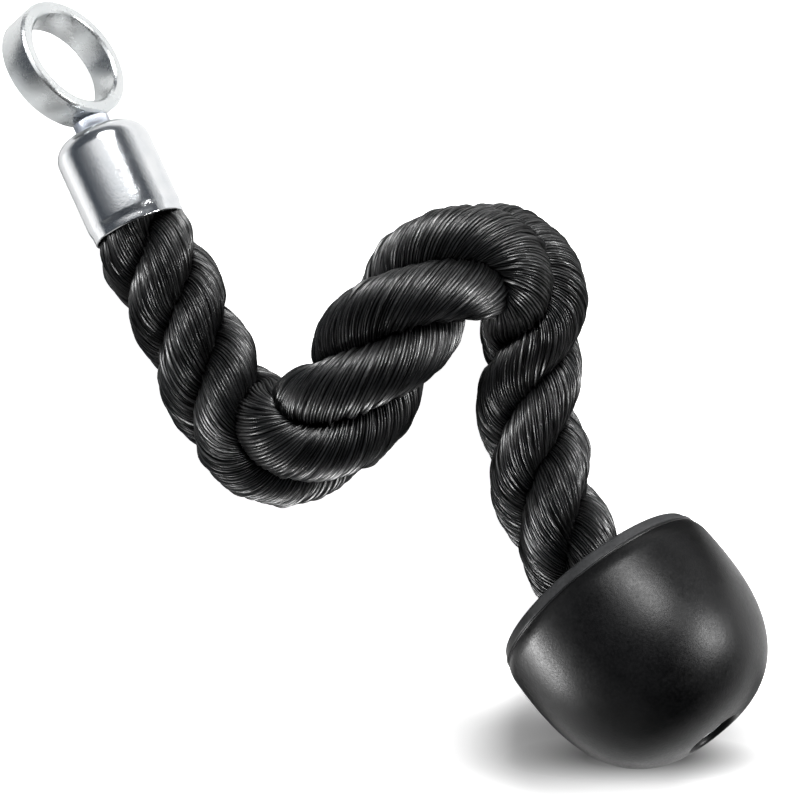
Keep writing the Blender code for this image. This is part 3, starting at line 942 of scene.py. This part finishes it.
    def strand_points(self, number: int, strands: list[Strand],
                      rng: np.random.Generator) -> Rows:
        """Corner points of one strand, loop by loop, its columns following the yarns.

        Args:
            number: which strand.
            strands: the middle lines.
            rng: source of the fixed unevenness.

        Returns:
            Points by loop and column.
        """
        middle, outward, radii = strands[number]
        others = np.concatenate([line[0] for i, line in enumerate(strands) if i != number])
        lengths = distances(middle)
        spots = np.linspace(0, lengths[-1], self.rings)
        angles = self.yarn_edges(rng) - 2 * math.pi * spots[:, None] / self.yarn_pitch
        heights = self.ridges(rng)
        axes = read_off(spots, lengths, np.gradient(middle, axis=0))
        axes[0], axes[-1] = self.exit_way, self.ball_axis()
        axes = unit(axes)
        first = read_off(spots, lengths, outward)
        first = unit(first - axes * (first * axes).sum(axis=1, keepdims=True))
        second = np.cross(axes, first)
        ways = np.cos(angles)[..., None] * first[:, None] + np.sin(angles)[..., None] * second[:, None]
        middles = read_off(spots, lengths, middle)
        sizes = np.interp(spots, lengths, radii)
        reach = np.array([self.reach(*section, others) for section in zip(middles, ways, sizes)])
        grid = middles[:, None] + ways * (reach + heights)[..., None]
        grid[:, :, 2] = np.maximum(grid[:, :, 2], self.rest_height)
        return grid

    def strand_mesh(self, name: str, grid: Rows) -> Piece:
        """Make one strand's closed tube with its UV map.

        Args:
            name: the strand's name.
            grid: its corner points by loop and column.

        Returns:
            The strand.
        """
        rings, columns = grid.shape[:2]
        index = np.arange(rings * columns).reshape(rings, columns)
        after = np.roll(index, -1, axis=1)
        sides = np.stack([index[:-1], after[:-1], after[1:], index[1:]], axis=-1).reshape(-1, 4)
        ends = [index[0, ::-1].tolist(), index[-1].tolist()]
        mesh = bpy.data.meshes.new(name)
        mesh.from_pydata(grid.reshape(-1, 3).tolist(), [], sides.tolist() + ends)
        column = np.arange(columns)[None, :] / columns
        ring = np.arange(rings - 1)[:, None] / (rings - 1)
        spots = np.zeros((rings - 1, columns, 4, 2))
        spots[..., 0] = ring[..., None] + np.array([0, 0, 1, 1]) / (rings - 1)
        spots[..., 1] = column[..., None] + np.array([0, 1, 1, 0]) / columns
        layer = mesh.uv_layers.new(name=self.UV_NAME)
        layer.data.foreach_set("uv", np.concatenate([spots.ravel(), np.zeros(columns * 4)]))
        mesh.shade_smooth()
        return linked(name, mesh)

    def dress(self) -> list[Piece]:
        """Build the strands, give them their finish and let each stand for its CAD node."""
        rng = np.random.default_rng(self.seed)
        lines = self.strand_lines()
        _, lengths, _, start = self.whole_line()
        finish = RopeYarn("rope_yarn", yarns=self.yarns)
        pieces = []
        for number, (middle, _, _) in enumerate(lines):
            strand = self.strand_mesh(f"laid_strand_{number + 1}", self.strand_points(number, lines, rng))
            finish.lay_on(strand)
            stand_in(strand, f"rope_strand_{number + 1}", Body.GRIP)
            pieces.append(strand)
        return pieces


# the fittings


@dataclass
class GripCup:
    """Pressed steel cup that closes the rope's upper end.

    Attributes:
        mouth: middle of its open end.
        axis: direction from its mouth to its closed end.
        length, radius, bore: its length, its outer radius and the radius of its bore.
        end_wall, shoulder: thickness of its closed end, and radius of its round shoulder.
        crimp_width, crimp_depth: width of the band drawn in at the mouth, and how far it is drawn in.
        lip, shank_hole: radius of the mouth's edge, and of the hole for the eye's shank.
        dents, dent_depth: how many soft jaw marks the press leaves round the band, and their depth.
        segments: how many edges go round.
    """

    mouth: Triple = (-0.0616, 0.0795, 0.0220)
    axis: Triple = (0.0, 1.0, 0.0)
    length: float = 0.0380
    radius: float = 0.01745
    bore: float = 0.01595
    end_wall: float = 0.0030
    shoulder: float = 0.0075
    crimp_width: float = 0.0042
    crimp_depth: float = 0.0004
    lip: float = 0.0006
    shank_hole: float = 0.0043
    dents: int = 14
    dent_depth: float = 0.00022
    segments: int = 168

    def where(self) -> Matrix:
        """Matrix of the cup's own frame, its Z from the mouth to the closed end."""
        return placed(self.mouth, self.axis)

    def outline(self) -> Profile:
        """Closed outline of radius and height."""
        bore_end = self.length - self.end_wall
        mouth = self.radius - self.crimp_depth
        inner = self.shoulder - (self.radius - self.bore)
        points = [(self.bore, bore_end / 2), (self.bore, self.lip)]
        points += arc((mouth - self.lip, self.lip), self.lip, -90, 0, 5)
        points += [(mouth - 0.00004, self.crimp_width * 0.45), (mouth, self.crimp_width * 0.8)]
        points += [(self.radius - 0.00006, self.crimp_width * 1.1), (self.radius, self.crimp_width * 1.3)]
        points += [(self.radius, self.length * share) for share in (0.25, 0.45, 0.65)]
        points += arc((self.radius - self.shoulder, self.length - self.shoulder), self.shoulder, 0, 90, 12)
        points += [(self.shank_hole * 2, self.length), (self.shank_hole, self.length)]
        points += [(self.shank_hole, bore_end)]
        points += arc((self.bore - inner, bore_end - inner), inner, 90, 0, 8)
        return points

    def press_marks(self, cup: Piece) -> None:
        """Sink the soft marks of the press jaws into the band at the mouth.

        Args:
            cup: the cup, still in its own frame.
        """
        reach = self.crimp_width * 1.25
        for corner in cup.data.vertices:
            spot = corner.co
            ray = math.hypot(spot.x, spot.y)
            if spot.z > reach or ray < self.bore + 0.0004:
                continue
            turn = math.atan2(spot.y, spot.x)
            jaw = max(0.0, math.sin(turn * self.dents / 2)) ** 2
            fade = max(0.0, 1 - (spot.z / reach) ** 4)
            share = 1 - self.dent_depth * jaw * fade / ray
            spot.x *= share
            spot.y *= share

    def dress(self) -> Piece:
        """Build the cup and give it its finish."""
        cup = turned_piece("crimped_cup", self.outline(), self.segments, closed=True)
        self.press_marks(cup)
        set_down(cup, self.where())
        TurnedSteel("polished_cup_steel", where=self.where(), colour=(0.70, 0.71, 0.72),
                    tint=(0.62, 0.64, 0.66), low_gloss=0.12, high_gloss=0.23, line_pitch=0.0009,
                    ripple_size=0.0028, ripple_depth=0.000010, grain_depth=0.00007).lay_on(cup)
        stand_in(cup, "cup", Body.GRIP)
        return cup


@dataclass
class SwivelEye:
    """Flat band eye on its stud, which turns in the cup's end.

    Attributes:
        seat: where the stud leaves the cup.
        turn_deg: how far the eye is turned about the stud.
        height: height of the eye's centre over the seat.
        outer, inner, width: outer and inner radius of the band, and its width.
        chamfer, fine_edge: its edge chamfer, and the rounding of the chamfer's edges.
        segments: how many edges go round the band.
        collar, collar_height, collar_edge: the stud's collar: radius, height of its top, edge radius.
        spigot, spigot_edge: radius of the spigot riveted into the band, and its edge.
        spigot_recess: how far its top stays under the inner face of the band.
        spigot_cut: length of the cutter that makes the spigot's hole.
        shank, shank_edge, shank_end: radius of the shank in the cup, its edge, and height of its end.
        gap: room between pieces that fit into one another.
    """

    seat: Triple = (-0.0616, 0.1175, 0.0220)
    turn_deg: float = -34.0
    height: float = 0.0275
    outer: float = 0.0220
    inner: float = 0.0173
    width: float = 0.0134
    chamfer: float = 0.0009
    fine_edge: float = 0.00012
    segments: int = 176
    collar: float = 0.0067
    collar_height: float = 0.0052
    collar_edge: float = 0.0004
    spigot: float = 0.0035
    spigot_edge: float = 0.0002
    spigot_recess: float = 0.0008
    spigot_cut: float = 0.012
    shank: float = 0.0040
    shank_edge: float = 0.0006
    shank_end: float = -0.0132
    gap: float = 0.0003

    def where(self) -> Matrix:
        """Matrix of the swivel's own frame, its Z along the stud and its X along the eye's axis."""
        return placed(self.seat, (0, 1, 0)) @ Matrix.Rotation(math.radians(self.turn_deg), 4, "Z")

    def ring_where(self) -> Matrix:
        """Matrix of the band's own frame, its Z along the eye's axis."""
        return self.where() @ Matrix.Translation((0, 0, self.height)) @ Matrix.Rotation(math.pi / 2, 4, "Y")

    def band(self) -> Piece:
        """Model the band: a cylinder, its caps inset to the hole and bridged, its edges bevelled."""
        deselect()
        bpy.ops.mesh.primitive_cylinder_add(vertices=self.segments, radius=self.outer, depth=self.width,
                                            end_fill_type="NGON")
        ring = bpy.context.active_object
        ring.name = "band_eye"
        ring.data.name = "band_eye"
        bpy.ops.object.mode_set(mode="EDIT")
        bpy.ops.mesh.select_mode(type="FACE")
        bpy.ops.mesh.select_all(action="DESELECT")
        self.select_caps(ring)
        bpy.ops.mesh.inset(thickness=self.outer - self.inner, depth=0)
        bpy.ops.mesh.delete(type="FACE")
        bpy.ops.mesh.select_mode(type="EDGE")
        bpy.ops.mesh.select_non_manifold()
        bpy.ops.mesh.bridge_edge_loops()
        face_outwards()
        round_edges(ring, self.chamfer, 1)
        round_edges(ring, self.fine_edge, 2, 25)
        deselect()
        bpy.ops.mesh.primitive_cylinder_add(vertices=48, radius=self.spigot + self.gap,
                                            depth=self.spigot_cut, location=(self.inner, 0, 0),
                                            rotation=(0, math.pi / 2, 0))
        cut_away(ring, bpy.context.active_object)
        return ring

    @staticmethod
    def select_caps(ring: Piece) -> None:
        """Select the two end faces of the cylinder.

        Args:
            ring: the cylinder, in edit mode.
        """
        work = bmesh.from_edit_mesh(ring.data)
        for face in work.faces:
            face.select = abs(face.normal.z) > 0.9
        bmesh.update_edit_mesh(ring.data)

    def stud_outline(self) -> Profile:
        """Outline of the stud from the shank's end to the spigot's top."""
        top = self.height - self.inner - self.spigot_recess
        edge = self.collar_edge
        points = [(self.shank - self.shank_edge, self.shank_end)]
        points += [(self.shank, self.shank_end + self.shank_edge)]
        points += [(self.shank, self.gap), (self.collar - edge, self.gap)]
        points += arc((self.collar - edge, self.gap + edge), edge, -90, 0, 4)[1:]
        points += arc((self.collar - edge, self.collar_height - edge), edge, 0, 90, 4)
        points += [(self.spigot, self.collar_height), (self.spigot, top - self.spigot_edge)]
        points += [(self.spigot - self.spigot_edge, top), (self.spigot * 0.5, top)]
        return points

    def dress(self) -> list[Piece]:
        """Build the eye and its stud and give them their finish."""
        ring = self.band()
        set_down(ring, self.ring_where(), 28)
        TurnedSteel("plated_band_steel", where=self.ring_where(), colour=(0.69, 0.705, 0.71),
                    tint=(0.61, 0.635, 0.64), low_gloss=0.22, high_gloss=0.34, line_pitch=0.0007,
                    line_depth=0.0000012, ripple_size=0.006, ripple_depth=0.000006,
                    grain_depth=0.000045).lay_on(ring)
        stud = turned_piece("eye_swivel_stud", self.stud_outline(), 96, closed=False)
        set_down(stud, self.where())
        TurnedSteel("plated_stud_steel", where=self.where(), colour=(0.52, 0.55, 0.61),
                    tint=(0.38, 0.42, 0.50), low_gloss=0.18, high_gloss=0.30, serrations=64).lay_on(stud)
        for piece, node in ((ring, "eye_ring"), (stud, "eye_stud")):
            stand_in(piece, node, Body.SWIVEL)
        return [ring, stud]


@dataclass
class BallStopper:
    """Rubber ball on the rope's lower end, with the washer and screw in its pole.

    Attributes:
        centre: origin of its own frame, a lip's height over its flat face. Heights start there.
        face, rim: radius of the flat face, and radius where the rounded lip ends.
        lip, lip_end: height of the rounded lip, and how far its end stays under the centre.
        parting: height of the parting line.
        belly, belly_height: largest radius and its height.
        length, power: height of the pole that the dome is drawn to, and how square the dome is.
        pole_edge: radius of the recess's edge.
        recess, recess_floor, recess_draft: radius of the recess, height of its floor, its taper.
        bore, bore_edge: radius of the rope's bore and of its edge.
        pocket, pocket_start, pocket_end: radius of the sleeve's pocket, and the heights of its ends.
        screw_bore, screw, screw_tip: radius of the screw's hole and of the screw, height of its end.
        head, head_height, head_edge: radius, height and edge radius of the screw's head.
        socket, socket_depth: width across flats and depth of the six-sided cutter at the head.
        washer, washer_thickness, washer_edge: radius, thickness and edge of the washer.
        gap: room between the washer and its neighbours.
        rest_height: lowest height of a point over the floor.
        segments: how many edges go round.
        PARTING_FORM: the parting line's section, as steps outwards and upwards in metres.
        flash_spots: where the larger bits of flash are round the rim, in degrees.
        flash_out, lump_out, lump_up, lump_deg: how far the flash stands out, how far its larger bits
            stand out and up, and how wide they are in degrees.
    """

    PARTING_FORM = ((-0.00004, -0.0012), (0.0, -0.00045), (-0.00026, -0.00022), (-0.00028, -0.00004),
                    (0.00014, 0.00010), (0.00018, 0.00030), (0.00002, 0.00055))

    centre: Triple = (0.0330, -0.1065, 0.0355)
    face: float = 0.0358
    rim: float = 0.03965
    lip: float = 0.0022
    lip_end: float = 0.0004
    parting: float = 0.0024
    belly: float = 0.04225
    belly_height: float = 0.0080
    length: float = 0.0610
    power: float = 2.68
    pole_edge: float = 0.0012
    recess: float = 0.0095
    recess_floor: float = 0.0535
    recess_draft: float = 0.0006
    bore: float = 0.01819
    bore_edge: float = 0.0010
    pocket: float = 0.02019
    pocket_start: float = 0.0210
    pocket_end: float = 0.0446
    screw_bore: float = 0.0033
    screw: float = 0.0030
    head: float = 0.0055
    head_height: float = 0.0036
    head_edge: float = 0.0009
    socket: float = 0.0040
    socket_depth: float = 0.0018
    washer: float = 0.0086
    washer_thickness: float = 0.0014
    washer_edge: float = 0.0003
    screw_tip: float = 0.0413
    gap: float = 0.0003
    rest_height: float = 0.00002
    segments: int = 192
    flash_spots: Triple = (98.0, 205.0, 318.0)
    flash_out: float = 0.00006
    lump_out: float = 0.00032
    lump_up: float = 0.00022
    lump_deg: float = 4.5

    def where(self, rope: TwistedRope) -> Matrix:
        """Matrix of the ball's own frame, its Z from the face to the pole."""
        return placed(self.centre, rope.ball_axis())

    def swell_at(self, height: float) -> float:
        """How far the wall under the belly stands out over the rim, at a height."""
        return (self.belly - self.rim) * math.sin(height / self.belly_height * math.pi / 2)

    def dome(self) -> Profile:
        """Outer outline from the parting line to the recess's edge."""
        heights = [self.belly_height * share for share in (0.5, 0.65, 0.8, 0.9)]
        points = [(self.rim + self.swell_at(height), height) for height in heights]
        rise = self.length - self.belly_height
        edge = self.recess + self.pole_edge
        for index in range(49):
            turn = math.pi / 2 * (index / 48) ** 1.15
            radius = self.belly * math.cos(turn) ** (2 / self.power)
            if radius <= edge * 1.02:
                break
            points.append((radius, self.belly_height + rise * math.sin(turn) ** (2 / self.power)))
        level = (1 - (edge / self.belly) ** self.power) ** (1 / self.power)
        top = self.belly_height + rise * level
        points += [(edge, top)]
        points += arc((edge, top - self.pole_edge), self.pole_edge, 90, 180, 5)[1:]
        return points

    def outline(self) -> Profile:
        """Closed outline of the ball, bore, lip, parting line, dome, recess and pocket."""
        edge = self.bore_edge
        points = [(self.bore, self.pocket_start), (self.bore, -self.lip + edge)]
        points += arc((self.bore + edge, -self.lip + edge), edge, 180, 270, 4)[1:]
        points += [(self.bore + 0.006, -self.lip), (self.face - 0.006, -self.lip)]
        for index in range(9):
            turn = math.pi / 2 * index / 8
            radius = self.face + (self.rim - self.face) * math.sin(turn)
            points.append((radius, -self.lip * math.cos(turn) - self.lip_end * math.sin(turn)))
        wall = self.rim + self.swell_at(self.parting)
        points += [(wall + out, self.parting + up) for out, up in self.PARTING_FORM]
        points += self.dome()
        points += [(self.recess - self.recess_draft, self.recess_floor)]
        points += [(self.screw_bore, self.recess_floor), (self.screw_bore, self.pocket_end)]
        points += [(self.pocket, self.pocket_end), (self.pocket, self.pocket_start)]
        return points

    def flash(self, ball: Piece) -> None:
        """Lift ragged bits of moulding flash along the parting line.

        Args:
            ball: the ball, still in its own frame.
        """
        for corner in ball.data.vertices:
            spot = corner.co
            ray = math.hypot(spot.x, spot.y)
            if abs(spot.z - self.parting) > 0.0007 or ray < self.rim - 0.0005:
                continue
            turn = math.degrees(math.atan2(spot.y, spot.x))
            rough = 0.5 + 0.5 * math.sin(turn * 0.93) * math.sin(turn * 0.37 + 1.1)
            lump = sum(math.exp(-(((turn - at + 180) % 360 - 180) / self.lump_deg) ** 2)
                       for at in self.flash_spots)
            share = 1 + (self.flash_out * rough + self.lump_out * lump) / ray
            spot.x *= share
            spot.y *= share
            spot.z += self.lump_up * lump * math.sin(turn * 1.7)

    def screw_piece(self) -> Piece:
        """Model the screw: a turned body less a six-sided cutter at its head, its edges rounded."""
        seat = self.recess_floor + self.gap * 2 + self.washer_thickness
        top = seat + self.head_height
        edge = self.head_edge
        points = [(self.screw - 0.00045, self.screw_tip), (self.screw, self.screw_tip + 0.00045)]
        points += [(self.screw, seat), (self.head - 0.0001, seat), (self.head, seat + 0.0001)]
        points += arc((self.head - edge, top - edge), edge, 0, 90, 6) + [(self.head * 0.72, top)]
        screw = turned_piece("socket_screw", points, 72, closed=False)
        deselect()
        bpy.ops.mesh.primitive_cylinder_add(vertices=6, radius=self.socket / math.sqrt(3),
                                            depth=self.socket_depth * 2, location=(0, 0, top))
        cut_away(screw, bpy.context.active_object)
        round_edges(screw, 0.00010, 2, 50)
        return screw

    def washer_piece(self) -> Piece:
        """Model the flat washer as a turned ring with broken edges."""
        low = self.recess_floor + self.gap
        high = low + self.washer_thickness
        hole, out, edge = self.screw_bore, self.washer, self.washer_edge
        points = [(hole, low), (out - edge, low), (out, low + edge), (out, high - edge)]
        points += [(out - edge, high), (hole + edge / 2, high), (hole, high - edge / 2)]
        return turned_piece("recess_washer", points, 96, closed=True)

    def dress(self, rope: TwistedRope) -> list[Piece]:
        """Build the ball, washer and screw and give them their finish.

        Args:
            rope: the rope that the ball sits on.

        Returns:
            The three pieces.
        """
        where = self.where(rope)
        ball = turned_piece("rubber_ball", self.outline(), self.segments, closed=True)
        self.flash(ball)
        set_down(ball, where, 40)
        for corner in ball.data.vertices:
            corner.co.z = max(corner.co.z, self.rest_height)
        BlackRubber("moulded_rubber", where=where, parting=self.parting).lay_on(ball)
        stand_in(ball, "ball_stopper", Body.GRIP)
        washer, screw = self.washer_piece(), self.screw_piece()
        zinc = ZincSteel("zinc_hardware")
        for piece, node in ((washer, "end_washer"), (screw, "end_screw")):
            set_down(piece, where)
            zinc.lay_on(piece)
            stand_in(piece, node, Body.GRIP)
        return [ball, washer, screw]


# the studio


@dataclass(frozen=True)
class Lamp:
    """A square of light.

    Attributes:
        name, place, aim: its name, where it hangs and what it points at.
        size, shine: its width and height, and the brightness of its face.
        fan_deg: how widely its light fans out.
        bands: its brightness across its width, as pairs of place and share, or none where it is even.
        seen: whether it gives light, reflections or both.
    """

    name: str
    place: Triple
    aim: Triple
    size: Pair
    shine: float
    fan_deg: float = 180.0
    bands: tuple[Pair, ...] = ()
    seen: Seen = Seen.WHOLE

    def hang(self) -> None:
        """Add the lamp to the scene."""
        data = bpy.data.lights.new(self.name, "AREA")
        data.shape = "RECTANGLE"
        data.size, data.size_y = self.size
        data.energy = self.shine * math.pi * self.size[0] * self.size[1]
        lamp = linked(self.name, data)
        lamp.location = self.place
        way = Vector(self.aim) - Vector(self.place)
        lamp.rotation_euler = way.to_track_quat("-Z", "Y").to_euler()
        lamp.visible_camera = False
        lamp.visible_diffuse = self.seen is not Seen.MIRRORED
        lamp.visible_glossy = self.seen is not Seen.MATTE
        data.spread = math.radians(self.fan_deg)
        if self.bands:
            self.shade(data)

    def shade(self, data: bpy.types.Light) -> None:
        """Let the lamp's brightness change across its width.

        Args:
            data: the lamp's data.
        """
        bench = NodeBench(data)
        spot = bench.tree.nodes.new("ShaderNodeNewGeometry").outputs["Parametric"]
        colour = bench.ramp(bench.split(spot)["X"], self.bands)
        bench.end(bench.add("ShaderNodeEmission", Color=colour, Strength=1.0), "ShaderNodeOutputLight")


@dataclass
class Studio:
    """Camera over the object, white floor, soft lamps and the room that steel reflects.

    Attributes:
        camera_place, camera_turn_deg: where the camera is, and how far the picture is turned.
        lens, sensor: focal length and width of the sensor, in millimetres.
        floor_size: side of the floor.
        fill: strength of the light from all round.
        lamps: the lamps, and the cards that the cup mirrors.
    """

    camera_place: Triple = (-0.00216, -0.01619, 0.457)
    camera_turn_deg: float = -24.8
    lens: float = 54.0
    sensor: float = 36.0
    floor_size: float = 5.0
    fill: float = 0.10
    lamps: tuple[Lamp, ...] = (
        Lamp("upper_box", (0.930, 1.435, 1.840), (0.03, -0.05, 0.04), (1.03, 0.80), 31.0),
        Lamp("right_box", (0.470, -0.170, 0.365), (0.03, -0.12, 0.05), (0.15, 0.15), 47.0,
             seen=Seen.MIRRORED),
        Lamp("side_sheet", (0.470, -0.130, 0.330), (0.03, -0.12, 0.02), (0.50, 0.50), 3.6,
             seen=Seen.MATTE),
        Lamp("left_box", (-0.230, -0.108, 0.050), (0.0, -0.11, 0.05), (0.105, 0.048), 10.5, 80.0,
             seen=Seen.MIRRORED),
        Lamp("cup_card", (-0.115, 0.160, 0.215), (-0.115, 0.159, 0.0), (0.430, 0.100), 1.25,
             bands=((0.0, 0.04), (0.04, 0.16), (0.17, 0.48), (0.33, 0.82), (0.43, 0.74), (0.52, 0.43),
                    (0.62, 0.22), (0.75, 0.10), (0.96, 0.06)), seen=Seen.MIRRORED),
        Lamp("cup_left_card", (-0.150, 0.118, 0.028), (-0.0616, 0.118, 0.028), (0.095, 0.055), 0.52,
             seen=Seen.MIRRORED),
    )

    def camera(self) -> None:
        """Add the camera, looking straight down."""
        data = bpy.data.cameras.new("picture_camera")
        data.sensor_width = self.sensor
        data.sensor_fit = "HORIZONTAL"
        data.lens = self.lens
        data.clip_start = 0.01
        data.clip_end = 50.0
        camera = linked("picture_camera", data)
        camera.location = self.camera_place
        camera.rotation_euler = (0, 0, math.radians(self.camera_turn_deg))
        bpy.context.scene.camera = camera

    def floor(self) -> None:
        """Lay the white floor that the object lies on."""
        deselect()
        bpy.ops.mesh.primitive_plane_add(size=self.floor_size)
        floor = bpy.context.active_object
        floor.name = "paper_floor"
        StudioFloor("paper_floor").lay_on(floor)
        floor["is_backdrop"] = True

    def room(self) -> None:
        """Make the room: even light, white to the camera, and darker between its lights to steel."""
        world = bpy.data.worlds.new("studio_room")
        bpy.context.scene.world = world
        bench = NodeBench(world)
        parts = bench.split(bench.tree.nodes.new("ShaderNodeTexCoord").outputs["Generated"])
        low = bench.spread(parts["Z"], 0.13, 0.0)
        right = bench.spread(bench.times(parts["Z"], -0.9, parts["X"]), 0.52, 0.80, 0.0, 0.78)
        front = bench.spread(bench.times(parts["Y"], -1.0), 0.05, 0.60, 0.0, 0.55)
        side = bench.spread(bench.times(parts["X"], -1.0), 0.2, 0.6)
        left = bench.times(front, side)
        light = bench.calc("MAXIMUM", bench.calc("MAXIMUM", low, right), left)
        north = bench.spread(parts["Y"], -0.30, 0.05)
        dark = bench.blend(north, (0.012, 0.013, 0.015, 1), (0.080, 0.090, 0.106, 1))
        grey = bench.blend(light, dark, (0.92, 0.93, 0.935, 1))
        paths = bench.paths()
        even = (self.fill, self.fill, self.fill, 1)
        seen = bench.blend(paths["Is Glossy Ray"], even, grey)
        seen = bench.blend(paths["Is Camera Ray"], seen, (1, 1, 1, 1))
        bench.end(bench.add("ShaderNodeBackground", Color=seen, Strength=1.0), "ShaderNodeOutputWorld")

    def set_up(self) -> None:
        """Build the whole studio."""
        self.camera()
        self.floor()
        self.room()
        for lamp in self.lamps:
            lamp.hang()
        bpy.context.scene.view_settings.view_transform = "Standard"


def main() -> None:
    """Dress the whole object, report each piece and set up the studio."""
    logging.basicConfig(level=logging.INFO, format="%(message)s")
    before = tuple(corner.copy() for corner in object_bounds())
    rope = TwistedRope()
    pieces = rope.dress() + [GripCup().dress()]
    pieces += SwivelEye().dress()
    pieces += BallStopper().dress(rope)
    zinc = ZincSteel("zinc_hardware")
    for node in ("lock_nut", "thrust_washer", "rope_end_sleeve"):
        zinc.lay_on(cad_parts[node])
    Studio().set_up()
    for piece in pieces:
        LOG.info("%s: %d faces", piece.name, len(piece.data.polygons))


if __name__ == "__main__":
    main()
